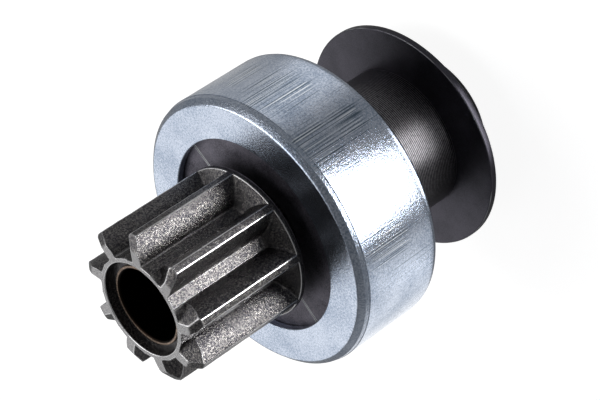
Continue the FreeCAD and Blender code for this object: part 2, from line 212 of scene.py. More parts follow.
def revolve(
    outline: np.ndarray, segments: int, start: float = 0.0, sweep: float = 360.0
) -> Surface:
    """Carry a closed outline of (radius, height) round the Z axis.

    A point is (radius cos a, radius sin a, height), with a running from start through sweep.
    The outline is turned counter-clockwise first, so that the faces point outwards. A part turn
    gets an end face on each end.

    Args:
        outline: Closed outline, (N, 2).
        segments: Steps round the turn.
        start: First angle in degrees.
        sweep: Angle covered in degrees.

    Returns:
        The surface, with U as arc length and V as height.
    """
    outline = counter_clockwise(outline)
    full = sweep >= 360.0
    columns = segments if full else segments + 1
    angle = np.radians(start + sweep * np.arange(columns) / segments)
    radius, height = outline[:, 0][:, None], outline[:, 1][:, None]
    points = np.stack(
        [radius * np.cos(angle), radius * np.sin(angle), height + 0 * angle], axis=-1
    ).reshape(-1, 3)
    quads = closed_grid(len(outline), columns, full)
    caps: list[list[int]] = []
    if not full:
        caps = [
            list(range(0, len(outline) * columns, columns)),
            list(range(len(outline) * columns - 1, 0, -columns)),
        ]
    return Surface(points, quads, caps, grid_uv(outline, angle, full))


def counter_clockwise(outline: np.ndarray) -> np.ndarray:
    """The outline turned so that revolving it gives faces that point outwards.

    Args:
        outline: Closed outline of (radius, height), (N, 2).

    Returns:
        The same outline, reversed if its area was negative.
    """
    following = np.roll(outline, -1, axis=0)
    area = np.sum(outline[:, 0] * following[:, 1] - following[:, 0] * outline[:, 1])
    return outline if area > 0 else outline[::-1]


def grid_uv(outline: np.ndarray, angle: np.ndarray, full: bool) -> np.ndarray:
    """U and V in millimetres for each corner of a revolved grid's quads.

    U is the angle times the outline's largest radius and V the height, so that lines of equal
    U run along the axis.

    Args:
        outline: Closed outline of (radius, height), (N, 2).
        angle: Angles round the axis in radians.
        full: Whether the turn closes.

    Returns:
        One pair for each corner, in the order of closed_grid, (F * 4, 2).
    """
    rows = len(outline)
    columns = len(angle) if full else len(angle) - 1
    step = angle[1] - angle[0]
    reach = outline[:, 0].max()
    row, column = np.meshgrid(np.arange(rows), np.arange(columns), indexing="ij")
    here = angle[column]
    height = outline[:, 1]
    corner_angle = np.stack([here, here + step, here + step, here], axis=-1)
    low, high = height[row], height[(row + 1) % rows]
    corner_height = np.stack([low, low, high, high], axis=-1)
    return np.stack([corner_angle * reach, corner_height], axis=-1).reshape(-1, 2)


def smooth_min(first: np.ndarray, second: np.ndarray, blend: float) -> np.ndarray:
    """The smaller of two fields, with their crossing rounded over the blend width.

    Args:
        first: One field.
        second: The other field.
        blend: Width of the rounding, in the fields' units.

    Returns:
        min(a, b) less h squared times blend over 4, where h = max(blend - |a - b|, 0) / blend.
    """
    share = np.maximum(blend - np.abs(first - second), 0.0) / blend
    return np.minimum(first, second) - share * share * blend / 4


def smooth_max(first: np.ndarray, second: np.ndarray, blend: float) -> np.ndarray:
    """The larger of two fields, rounded where they cross, as smooth_min is."""
    return -smooth_min(-first, -second, blend)


def waves(points: np.ndarray, shortest: float, longest: float, seed: int, count: int = 14) -> np.ndarray:
    """Gentle unevenness: a sum of sine waves with seeded directions, lengths and phases.

    Args:
        points: Places in millimetres, (..., 3).
        shortest: Shortest wavelength in millimetres.
        longest: Longest wavelength in millimetres.
        seed: Seed of the waves.
        count: How many waves are added.

    Returns:
        Heights with a spread of about 1, one for each place.
    """
    random = np.random.default_rng(seed)
    direction = random.normal(size=(count, 3))
    direction /= np.linalg.norm(direction, axis=1, keepdims=True)
    length = random.uniform(shortest, longest, count)
    phase = random.uniform(0, 2 * math.pi, count)
    total = np.sin(points @ (direction / length[:, None]).T * 2 * math.pi + phase)
    return total.sum(axis=-1) / math.sqrt(count / 2)


def edge_wear(grid: np.ndarray, sharpest: float) -> np.ndarray:
    """How far each point of a closed grid stands on a convex edge.

    Along both grid directions the turn of the surface is (next step's direction less the last
    step's direction) . normal / mean step length. Its negative, over 1 / sharpest, is clipped
    to 0..1 and averaged with the neighbours.

    Args:
        grid: Points, (rows, columns, 3), closed both ways.
        sharpest: Radius in millimetres whose edge is fully worn.

    Returns:
        Wear from 0 to 1, (rows, columns).
    """
    ahead = [np.roll(grid, -1, axis=axis) - grid for axis in (0, 1)]
    back = [np.roll(step, 1, axis=axis) for axis, step in enumerate(ahead)]
    normal = np.cross(ahead[1] + back[1], ahead[0] + back[0])
    normal /= np.maximum(np.linalg.norm(normal, axis=-1, keepdims=True), 1e-9)
    turn = np.zeros(grid.shape[:2])
    for following, previous in zip(ahead, back):
        long = np.maximum(np.linalg.norm(following, axis=-1), 1e-6)
        short = np.maximum(np.linalg.norm(previous, axis=-1), 1e-6)
        bend = following / long[..., None] - previous / short[..., None]
        turn -= (bend * normal).sum(axis=-1) / ((long + short) / 2)
    wear = np.clip(turn * sharpest, 0, 1)
    around = sum(np.roll(wear, shift, axis=axis) for shift in (-1, 1) for axis in (0, 1))
    return (2 * wear + around) / 6


def mesh_object(name: str, surface: Surface, sharp: float = 40.0) -> bpy.types.Object:
    """Put a surface into a mesh object that sits at the origin.

    Args:
        name: The piece's name.
        surface: Its points and faces, in millimetres.
        sharp: Edges that turn by more than this many degrees shade as edges.

    Returns:
        The new object, linked to the scene.
    """
    mesh = bpy.data.meshes.new(name)
    faces = surface.quads.tolist() + [list(cap) for cap in surface.caps]
    mesh.from_pydata((surface.points * MM).tolist(), [], faces)
    if surface.uv is not None:
        layer = mesh.uv_layers.new(name=UV_NAME)
        corners = np.zeros((len(mesh.loops), 2), np.float32)
        corners[: len(surface.uv)] = surface.uv / UV_UNIT
        layer.data.foreach_set("uv", corners.ravel())
    for mark, values in surface.marks.items():
        attribute = mesh.attributes.new(mark, "FLOAT", "POINT")
        attribute.data.foreach_set("value", values.astype(np.float32))
    mesh.validate()
    mesh.shade_smooth()
    mesh.set_sharp_from_angle(angle=math.radians(sharp))
    piece = bpy.data.objects.new(name, mesh)
    bpy.context.scene.collection.objects.link(piece)
    return piece


# Materials


def linear(colour: str) -> tuple[float, float, float, float]:
    """Turn an sRGB hex colour such as #8090A0 into linear RGBA."""
    channels = np.array([int(colour[start:start + 2], 16) for start in (1, 3, 5)]) / 255
    low = channels / 12.92
    high = ((channels + 0.055) / 1.055) ** 2.4
    red, green, blue = np.where(channels <= 0.04045, low, high)
    return float(red), float(green), float(blue), 1.0


def grain_scale(size: float) -> float:
    """Texture scale that gives features of this size in millimetres on metre coordinates."""
    return 1.0 / (size * MM)


def add_node(tree: Tree, kind: str, inputs: Optional[Mapping[Any, Any]] = None) -> bpy.types.Node:
    """Add a node and fill it in.

    Args:
        tree: The material's or world's node tree.
        kind: The node's type name.
        inputs: What goes into each input, by name or number, or into a property, by name. A
            socket is linked, and an input's hex colour is turned to linear.

    Returns:
        The new node.
    """
    node = tree.nodes.new(kind)
    for name, value in (inputs or {}).items():
        if isinstance(name, str) and name not in node.inputs:
            setattr(node, name, value)
        elif isinstance(value, Socket):
            tree.links.new(value, node.inputs[name])
        else:
            node.inputs[name].default_value = linear(value) if isinstance(value, str) else value
    return node


def noise(
    tree: Tree, place: Socket, scale: float, detail: float, roughness: float = 0.5
) -> Socket:
    """Noise from 0 to 1 over a place."""
    inputs = {"Vector": place, "Scale": scale, "Detail": detail, "Roughness": roughness}
    return add_node(tree, "ShaderNodeTexNoise", inputs).outputs["Fac"]


def remap(tree: Tree, value: Socket, span: Span = (0.0, 1.0), onto: Span = (0.0, 1.0)) -> Socket:
    """A value carried from one span onto another and held inside it."""
    ends = dict(zip(("From Min", "From Max", "To Min", "To Max"), span + onto))
    inputs = {"Value": value, **ends}
    return add_node(tree, "ShaderNodeMapRange", inputs).outputs["Result"]


def calculate(tree: Tree, operation: str, *values: Any, clamp: bool = False) -> Socket:
    """The result of a maths operation on sockets or numbers."""
    inputs = {"operation": operation, "use_clamp": clamp, **dict(enumerate(values))}
    return add_node(tree, "ShaderNodeMath", inputs).outputs["Value"]


def blend(tree: Tree, share: Socket, first: Any, second: Any) -> Socket:
    """A colour between two, each of them a socket or a hex colour."""
    inputs = {"data_type": "RGBA", 0: share, 6: first, 7: second}
    return add_node(tree, "ShaderNodeMix", inputs).outputs[2]


def emboss(tree: Tree, height: Socket, depth: float, **others: Any) -> Socket:
    """The normal of a relief whose depth is in millimetres; others are the node's other inputs."""
    inputs = {"Height": height, "Distance": depth * MM, "Strength": 1.0, **others}
    return add_node(tree, "ShaderNodeBump", inputs).outputs["Normal"]


def mark(tree: Tree, name: str) -> Socket:
    """The value that the mesh carries under an attribute's name."""
    return add_node(tree, "ShaderNodeAttribute", {"attribute_name": name}).outputs["Fac"]


def swung(middle: float, swing: Span) -> Span:
    """The span that a swing covers about its middle."""
    return middle + swing[0], middle + swing[1]


def new_tree(name: str) -> tuple[bpy.types.Material, Tree]:
    """A material with an empty node tree."""
    material = bpy.data.materials.new(name)
    material.use_nodes = True
    material.node_tree.nodes.clear()
    return material, material.node_tree


def object_place(tree: Tree) -> Socket:
    """Places in the object's own coordinates."""
    return add_node(tree, "ShaderNodeTexCoord").outputs["Object"]


def finish_metal(tree: Tree, colour: Socket, roughness: Socket, normal: Socket) -> None:
    """End a material in a metal shader."""
    inputs = {"Metallic": 1.0, "Base Color": colour, "Roughness": roughness, "Normal": normal}
    shader = add_node(tree, "ShaderNodeBsdfPrincipled", inputs)
    add_node(tree, "ShaderNodeOutputMaterial", {"Surface": shader.outputs["BSDF"]})


@dataclass(frozen=True)
class ForgedSteel:
    """Case-hardened alloy steel, forged and blasted: dark grey with a sparkling coarse grain."""

    dark: str = "#39383D"
    light: str = "#8D8A86"
    bare: str = "#C4C3C4"
    roughness: float = 0.23
    roughness_swing: Span = (-0.08, 0.10)
    grain: float = 0.36
    grain_height: float = 0.13
    grain_span: Span = (0.42, 0.74)
    patch: float = 5.0
    patch_span: Span = (0.3, 0.7)
    wear_and_highlight_span: Span = (0.3, 0.8)
    rubbed_and_highlit_relief: float = 0.35

    def build(self) -> bpy.types.Material:
        """The grain breaks the gloss into specks; rubbed edges, and the painted highlight lines along the
        root fillets, are bare and smoother.
        """
        material, tree = new_tree("forged_case_hardened_steel")
        place = object_place(tree)
        grain = noise(tree, place, grain_scale(self.grain), 3.0, 0.7)
        patches = noise(tree, place, grain_scale(self.patch), 3.0)
        # The wear mark holds rubbed edges and the painted highlight lines along the root fillets.
        rubbed = remap(tree, mark(tree, WEAR_NAME), self.wear_and_highlight_span)
        colour = blend(tree, remap(tree, grain, self.grain_span), self.dark, self.light)
        worn = blend(tree, rubbed, colour, self.bare)
        gloss = swung(self.roughness, self.roughness_swing)
        relief = remap(tree, rubbed, onto=(1.0, self.rubbed_and_highlit_relief))
        bump = emboss(tree, grain, self.grain_height, Strength=relief)
        finish_metal(tree, worn, remap(tree, patches, self.patch_span, gloss), bump)
        return material


@dataclass(frozen=True)
class ZincPlate:
    """Zinc electroplate, blue passivated, on drawn steel: bluish silver with axial die scratches."""

    clean: str = "#C3CBD9"
    dull: str = "#7889A0"
    bright: str = "#E6EBF1"
    scored: str = "#5C6B7A"
    roughness: float = 0.12
    roughness_swing: Span = (-0.05, 0.12)
    cloud: float = 9.0
    cloud_span: Span = (0.25, 0.75)
    speck: float = 0.36
    speck_height: float = 0.055
    speck_weight: float = 2.0
    mottle_span: Span = (1.25, 2.0)
    scratch_pitch: float = 0.30
    scratch_length: float = 45.0
    scratch_depth: float = 0.016
    scored_span: Span = (-0.02, -0.06)
    polished_span: Span = (0.05, 0.08)

    def cuts(self, tree: Tree) -> Socket:
        """How far the scratches rise above the plate or sink below it, where the mesh is scuffed."""
        turned = add_node(tree, "ShaderNodeUVMap", {"uv_map": UV_NAME}).outputs["UV"]
        scale = (UV_UNIT / self.scratch_pitch, UV_UNIT / self.scratch_length, 1.0)
        along = add_node(tree, "ShaderNodeMapping", {"Vector": turned, "Scale": scale})
        lines = noise(tree, along.outputs["Vector"], 1.0, 2.0, 0.65)
        raised = calculate(tree, "SUBTRACT", lines, 0.5)
        return calculate(tree, "MULTIPLY", raised, mark(tree, SCUFF_NAME))

    def build(self) -> bpy.types.Material:
        """Fine specks break the mirror's borders; scratches follow the draw direction."""
        material, tree = new_tree("blue_zinc_plate")
        place = object_place(tree)
        specks = noise(tree, place, grain_scale(self.speck), 4.0, 0.65)
        clouds = noise(tree, place, grain_scale(self.cloud), 4.0)
        cut = self.cuts(tree)
        mottle = calculate(tree, "MULTIPLY_ADD", specks, self.speck_weight, clouds)
        plate = blend(tree, remap(tree, mottle, self.mottle_span), self.clean, self.dull)
        grooved = blend(tree, remap(tree, cut, self.scored_span), plate, self.scored)
        scratched = blend(tree, remap(tree, cut, self.polished_span), grooved, self.bright)
        gloss = swung(self.roughness, self.roughness_swing)
        bump = emboss(tree, specks, self.speck_height)
        bump = emboss(tree, cut, self.scratch_depth, Normal=bump)
        finish_metal(tree, scratched, remap(tree, clouds, self.cloud_span, gloss), bump)
        return material


@dataclass(frozen=True)
class TurnedSteel:
    """Oil-blackened turned steel: the tool's feed leaves fine rings round the axis."""

    dark: str = "#343337"
    light: str = "#858386"
    roughness: float = 0.33
    roughness_swing: Span = (-0.08, 0.12)
    feed: float = 0.42
    ring_height: float = 0.012
    grain: float = 0.4
    grain_height: float = 0.014
    blotch_span: Span = (0.10, 0.5)

    def build(self) -> bpy.types.Material:
        """Rings are drawn at the real feed; the wave node makes 20 / 2 pi of them a unit."""
        material, tree = new_tree("blackened_turned_steel")
        place = object_place(tree)
        rings = add_node(tree, "ShaderNodeTexWave", {
            "bands_direction": "Z", "Scale": 2 * math.pi / 20 * grain_scale(self.feed),
            "Distortion": 1.2, "Detail": 3.0, "Detail Scale": 0.4, "Vector": place,
        }).outputs["Fac"]
        grain = noise(tree, place, grain_scale(self.grain), 3.0)
        blotch = calculate(tree, "MULTIPLY", grain, rings)
        colour = blend(tree, remap(tree, blotch, self.blotch_span), self.dark, self.light)
        bump = emboss(tree, rings, self.ring_height)
        bump = emboss(tree, grain, self.grain_height, Normal=bump)
        gloss = swung(self.roughness, self.roughness_swing)
        finish_metal(tree, colour, remap(tree, grain, onto=gloss), bump)
        return material


@dataclass(frozen=True)
class BlackSteel:
    """Pressed steel, phosphated, oiled black or ground: even and satin, bare where it's rubbed."""

    name: str
    dark: str
    light: str
    roughness: float
    roughness_swing: Span = (-0.06, 0.08)
    bare: str = "#B9BBBE"
    cloud: float = 4.0
    grain: float = 0.25
    grain_height: float = 0.006
    mottle_span: Span = (0.7, 1.25)
    fraying: float = -0.8
    rubbed_span: Span = (0.0, 0.35)

    def build(self) -> bpy.types.Material:
        """The coat is mottled in soft clouds; where the mesh is marked as worn it frays to bare."""
        material, tree = new_tree(self.name)
        place = object_place(tree)
        clouds = noise(tree, place, grain_scale(self.cloud), 5.0)
        grain = noise(tree, place, grain_scale(self.grain), 3.0)
        mottle = calculate(tree, "ADD", clouds, grain)
        frayed = calculate(tree, "MULTIPLY_ADD", clouds, self.fraying, mark(tree, WEAR_NAME))
        colour = blend(tree, remap(tree, mottle, self.mottle_span), self.dark, self.light)
        worn = blend(tree, remap(tree, frayed, self.rubbed_span), colour, self.bare)
        bump = emboss(tree, grain, self.grain_height)
        gloss = swung(self.roughness, self.roughness_swing)
        finish_metal(tree, worn, remap(tree, clouds, onto=gloss), bump)
        return material


@dataclass(frozen=True)
class SinteredBronze:
    """Oil-filled sintered bronze: brown, satin, with fine open pores; the bore is coloured near-black."""

    dark: str = "#54463C"
    light: str = "#8C7A6C"
    oiled: str = "#17110D"
    bore_rad: float = 7.72
    bore_edge: float = 0.15
    roughness: float = 0.38
    roughness_swing: Span = (0.1, -0.05)
    pore: float = 0.22
    pore_span: Span = (0.35, 0.6)
    pore_depth: float = 0.01
    pore_relief: float = 0.6

    def build(self) -> bpy.types.Material:
        """Pores darken and pit the surface, and inside the bore's radius the colour turns near-black."""
        material, tree = new_tree("sintered_bronze")
        place = object_place(tree)
        pores = noise(tree, place, grain_scale(self.pore), 2.0)
        share = remap(tree, pores, self.pore_span)
        colour = blend(tree, share, self.dark, self.light)
        flat = add_node(tree, "ShaderNodeMapping", {"Vector": place, "Scale": (1.0, 1.0, 0.0)})
        reach = add_node(
            tree, "ShaderNodeVectorMath", {"operation": "LENGTH", 0: flat.outputs["Vector"]}
        ).outputs["Value"]
        # Inside the bore's radius the colour turns near-black.
        outside_bore = remap(tree, reach, (self.bore_rad * MM, (self.bore_rad + self.bore_edge) * MM))
        bore_blackened = blend(tree, outside_bore, self.oiled, colour)
        bump = emboss(tree, share, self.pore_depth, Strength=self.pore_relief)
        gloss = swung(self.roughness, self.roughness_swing)
        finish_metal(tree, bore_blackened, remap(tree, share, onto=gloss), bump)
        return material


# Pieces


def frame_span(node: str) -> tuple[float, float, float]:
    """Largest radius, lowest and highest height of a round CAD node, in millimetres."""
    low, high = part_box(node)
    return max(high.x, high.y, -low.x, -low.y) / MM, low.z / MM, high.z / MM


def place_piece(
    piece: bpy.types.Object, body: Body, slot: Slot, material: bpy.types.Material, *nodes: str
) -> None:
    """Dress a piece, let it ride on its body and stand for its CAD nodes.

    Args:
        piece: The piece's object.
        body: The body that carries it.
        slot: Its material slot in the record; not used.
        material: Its material.
        nodes: The CAD nodes that it replaces.
    """
    piece.data.materials.clear()
    piece.data.materials.append(material)
    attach(piece, body.value)
    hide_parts(*nodes)
    LOG.info("%s: %d faces, stands for %s", piece.name, len(piece.data.polygons), ", ".join(nodes))


def mesh_places(mesh: bpy.types.Mesh) -> np.ndarray:
    """A mesh's vertices in millimetres, (N, 3)."""
    places = np.zeros(len(mesh.vertices) * 3, np.float32)
    mesh.vertices.foreach_get("co", places)
    return places.reshape(-1, 3).astype(float) / MM


def smooth_copy(node: str, name: str, frame: Mapping[str, Any], sharp: float = 30.0) -> bpy.types.Object:
    """A CAD node's mesh with its corners merged, shaded smooth between real edges.

    Args:
        node: The CAD node.
        name: The new piece's name.
        sharp: Edges that turn by more than this many degrees stay edges.

    Returns:
        The new object at the origin.
    """
    source = frame["nodes"][node].data
    corners = np.zeros(len(source.loops), np.int32)
    source.loops.foreach_get("vertex_index", corners)
    merged, where = np.unique(np.round(mesh_places(source), 4), axis=0, return_inverse=True)
    triangles = where.reshape(-1)[corners].reshape(-1, 3)
    whole = np.all(triangles != np.roll(triangles, -1, axis=1), axis=1)
    return mesh_object(name, Surface(merged, triangles[whole]), sharp)


@dataclass
class Pinion:
    """The pinion: nine bevelled teeth, collar, neck and inner race, forged in one piece."""

    teeth: int = 9
    clock: float = 9.0
    root_rad: float = 10.6
    root_half: float = 1.2
    flank_end: tuple[float, float] = (4.91, 15.12)
    flank_rad: float = 7.4
    tip_cone_rad: float = 13.3
    tip_cone_length: float = 1.5
    bevel_angle: float = 42.0
    bevel_start: float = 0.35
    bevel_floor_rad: float = 10.4
    bevel_fade: float = 0.3
    bevel_lift: float = 0.5
    runout_length: float = 2.45
    runout_rim: float = 0.2
    tooth_length: float = 25.54
    collar_width: float = 1.3
    neck_rad: float = 11.0
    race_rad: float = 13.0
    race_front: float = 47.0
    bore_rad: float = 8.25
    counterbore_rad: float = 9.67
    counterbore_depth: float = 1.9
    edge: float = 0.12
    tip_round: float = 0.14
    root_round: float = 0.28
    corner_blend: float = 0.12
    runout_blend: float = 0.3
    lip_round: float = 0.15
    forging_height: float = 0.022
    forging_waves: Span = (1.6, 6.0)
    forging_seed: int = 5
    worn_edge: float = 0.35
    # The fillet fields place a painted highlight line along each root fillet.
    fillet_angle: float = 6.5
    fillet_spread: float = 0.45
    fillet_highlight: float = 0.8
    faced_wear: float = 0.5

    def __post_init__(self) -> None:
        """Take the tip radius and the two end heights from the frame."""
        self.tip_rad, self.race_back, self.front = frame_span("pinion")
        self.collar_front = self.front - self.tooth_length

    def round_angles(self) -> tuple[np.ndarray, np.ndarray]:
        """All angles round the pinion, and each one's signed angle from its gap's middle.

        The samples of a half gap and half tooth lie closer together at the corners: each knot
        is (first, last, count) in degrees.

        Returns:
            Angles in radians about the axis, and angles in degrees from -20 to 20.
        """
        knots = [(0.0, 5.6, 4), (5.6, 7.6, 6), (7.6, 16.6, 9), (16.6, 18.4, 7), (18.4, 20.0, 3)]
        half = np.concatenate([np.linspace(*knot, endpoint=False) for knot in knots])
        turn = 360.0 / self.teeth
        offsets = np.concatenate([half, [turn / 2], -half[:0:-1]])
        ahead = np.concatenate([half, [turn / 2], turn - half[:0:-1]])
        gaps = 90.0 + self.clock + turn * np.arange(self.teeth)
        angles = np.radians((gaps[:, None] + ahead).ravel())
        return angles, np.tile(offsets, self.teeth)

    def outline_radius(self, offset: np.ndarray) -> np.ndarray:
        """Radius of the teeth's outline at angles from a gap's middle.

        The land is the flat at root_rad, so its radius is root_rad / cos a. The flank is a
        circle about C: radius u.C + sqrt((u.C)^2 - |C|^2 + flank_rad^2) along the ray u.

        Args:
            offset: Angles in degrees from the gap's middle.

        Returns:
            Radii in millimetres, rounded at the land's and the tip's edges.
        """
        start = np.array([self.root_half, self.root_rad])
        end = np.array(self.flank_end)
        chord = end - start
        half = np.linalg.norm(chord) / 2
        right = np.array([chord[1], -chord[0]]) / (2 * half)
        centre = (start + end) / 2 + right * math.sqrt(self.flank_rad ** 2 - half ** 2)
        angle = np.radians(np.abs(offset))
        along = np.sin(angle) * centre[0] + np.cos(angle) * centre[1]
        inside = along ** 2 - centre @ centre + self.flank_rad ** 2
        flank = along + np.sqrt(np.maximum(inside, 0))
        land = self.root_rad / np.cos(angle)
        tooth = smooth_min(flank, np.full_like(flank, self.tip_rad), self.tip_round)
        return smooth_max(land, tooth, self.root_round)

    def side_radius(self, outline: np.ndarray, height: np.ndarray) -> np.ndarray:
        """Radius at a height, with the run-out wall that closes each gap at the collar.

        Args:
            outline: Outline radii.
            height: Heights of the same shape.

        Returns:
            The larger of outline and run-out cone, never above the tip.
        """
        rim = self.runout_rim
        top = self.tip_rad - rim
        slope = (top - self.root_rad) / self.runout_length
        above = height - (self.collar_front - rim)
        arc = top + np.sqrt(np.maximum(rim ** 2 - np.clip(above, 0, rim) ** 2, 0))
        wall = np.where(above < rim, arc, top - (height - self.collar_front) * slope)
        return np.minimum(smooth_max(outline, wall, self.runout_blend), self.tip_rad)

    def front_height(self, radius: np.ndarray, offset: np.ndarray) -> np.ndarray:
        """Height of the front end over a place: flat face, tip cone and the tooth's bevel.

        Args:
            radius: Distance from the axis.
            offset: Angle in degrees from the gap's middle.

        Returns:
            The lowest of the three, rounded where they cross.
        """
        cone_slope = self.tip_cone_length / (self.tip_rad - self.tip_cone_rad)
        cone = self.front - (radius - self.tip_cone_rad) * cone_slope
        half_turn = 180.0 / self.teeth
        from_tooth = np.radians(np.where(offset >= 0, offset - half_turn, offset + half_turn))
        across = radius * np.sin(from_tooth)
        outward = radius * np.cos(from_tooth)
        drop = np.tan(math.radians(self.bevel_angle)) * (across + self.bevel_start)
        reach = np.clip((outward - self.bevel_floor_rad) / self.bevel_fade, 0, 1)
        bevel = self.front - drop * reach + (1 - reach) * self.bevel_lift
        lowest = smooth_min(np.full_like(radius, self.front), cone, self.corner_blend)
        return smooth_min(lowest, bevel, self.corner_blend)

    def surface(self) -> Surface:
        """One closed grid: round the axis in one direction, along the profile in the other.

        Returns:
            The pinion's surface.
        """
        angle, offset = self.round_angles()
        outline = self.outline_radius(offset)
        around_axis = np.ones_like(angle)
        rows = [(radius * around_axis, height * around_axis) for radius, height in self.back_profile()]
        rows += self.tooth_rows(outline, offset)
        rows += self.front_rows(rows[-1], offset)
        rows += [(radius * around_axis, height * around_axis) for radius, height in self.bore_profile()]
        radius, height = np.array(rows).transpose(1, 0, 2)
        points = np.stack([radius * np.cos(angle), radius * np.sin(angle), height], axis=-1)
        bumps = waves(points, *self.forging_waves, seed=self.forging_seed) * self.forging_height
        outside = (height > self.collar_front) & (radius > self.counterbore_rad + 0.2)
        points[..., :2] *= (1 + np.where(outside, bumps / np.maximum(radius, 1), 0))[..., None]
        wear = edge_wear(points, self.worn_edge)
        # Painted highlight: a bright bare line along each root fillet, added to the wear mark with the
        # real edge wear.
        fillet = np.exp(-((np.abs(offset) - self.fillet_angle) / self.fillet_spread) ** 2)
        side = (height > self.collar_front + self.runout_length) & (radius > self.root_rad - 0.3)
        wear = np.maximum(wear, np.where(side, self.fillet_highlight * fillet, 0))
        faced = (height > self.front - 0.1) & (radius < self.tip_cone_rad)
        wear = np.maximum(wear, np.where(faced, self.faced_wear, 0))
        quads = closed_grid(len(rows), len(angle))
        return Surface(points.reshape(-1, 3), quads, marks={WEAR_NAME: wear.ravel()})

    def back_profile(self) -> list[tuple[float, float]]:
        """Race, neck and collar as (radius, height), from the bore's rear end."""
        collar_back = self.collar_front - self.collar_width
        corners = [
            (self.bore_rad, self.race_back, 0.0),
            (self.race_rad, self.race_back, 0.5),
            (self.race_rad, self.race_front, 0.1),
            (self.neck_rad, self.race_front, 0.1),
            (self.neck_rad, collar_back, 0.2),
            (self.tip_rad, collar_back, 0.4),
            (self.tip_rad, self.collar_front, 0.0),
            (self.bore_rad, self.collar_front, 0.0),
        ]
        return [tuple(point) for point in rounded(corners)[:-2]]

    def bore_profile(self) -> list[tuple[float, float]]:
        """Counterbore and bore as (radius, height), from the front face inwards."""
        floor = self.front - self.counterbore_depth
        wall = [(self.counterbore_rad, height) for height in np.linspace(self.front - 0.25, floor, 5)]
        bore = [(self.bore_rad, height) for height in np.linspace(floor, self.race_back, 12)[:-1]]
        return wall + bore

    def tooth_rows(self, outline: np.ndarray, offset: np.ndarray) -> list[Row]:
        """Rows up the teeth's sides, from the collar's front edge to the front end's outline.

        They lie closest together over the run-out and at the bevelled front edge.

        Args:
            outline: Outline radii round the pinion.
            offset: Angles from the gaps' middles.

        Returns:
            Rows of radii and heights.
        """
        arc = -self.runout_rim * (1 - np.sin(np.radians([0, 20, 40, 60, 80])))
        low = np.concatenate([arc, np.linspace(0.0, 0.2, 3), np.linspace(0.35, 3.2, 16)])
        top = self.front_height(outline, offset)
        share = 1 - (1 - np.linspace(0, 1, 20)[1:]) ** 1.6
        start = self.collar_front + low[-1]
        heights = [np.full_like(outline, self.collar_front + step) for step in low]
        last = top - self.edge * (1 - math.sqrt(0.5))
        heights += [start + (top - self.edge - start) * part for part in share]
        heights += [last - (last - top + self.edge) * 0.45, last]
        rows = []
        for height in heights:
            below = np.clip(self.edge - (top - height), 0, self.edge)
            inset = self.edge - np.sqrt(self.edge ** 2 - below ** 2)
            rows.append((self.side_radius(outline, height) - inset, height))
        return rows

    def front_rows(self, last: Row, offset: np.ndarray) -> list[Row]:
        """Rows across the front end, from the outline inwards to the counterbore.

        They cross the teeth down to a knee outside the counterbore, then its flat ring, then
        the rounded lip.

        Args:
            last: The last row of the sides.
            offset: Angles from the gaps' middles.

        Returns:
            Rows of radii and heights.
        """
        outer, inner = last[0], self.counterbore_rad
        knee = inner + np.minimum(1.08, 0.55 * (outer - inner))
        foot = inner + 0.62 * (knee - inner)
        crowded, even = np.concatenate([[0.03, 0.07], np.linspace(0.12, 1, 13)]), np.linspace(0, 1, 6)[1:]
        legs = ((outer, knee, crowded), (knee, foot, even), (foot, inner, even))
        radii = [start + (end - start) * share for start, end, shares in legs for share in shares]
        rows = []
        for radius in radii:
            inward = outer + self.edge * (1 - math.sqrt(0.5)) - radius
            near = np.clip(self.edge - inward, 0, self.edge)
            drop = self.edge - np.sqrt(self.edge ** 2 - near ** 2)
            lip = np.clip(self.lip_round - (radius - inner), 0, self.lip_round)
            drop = drop + self.lip_round - np.sqrt(self.lip_round ** 2 - lip ** 2)
            rows.append((radius, self.front_height(radius, offset) - drop))
        return rows

    def build(self) -> bpy.types.Object:
        """The pinion's mesh object."""
        return mesh_object("pinion_gear", self.surface(), sharp=50.0)


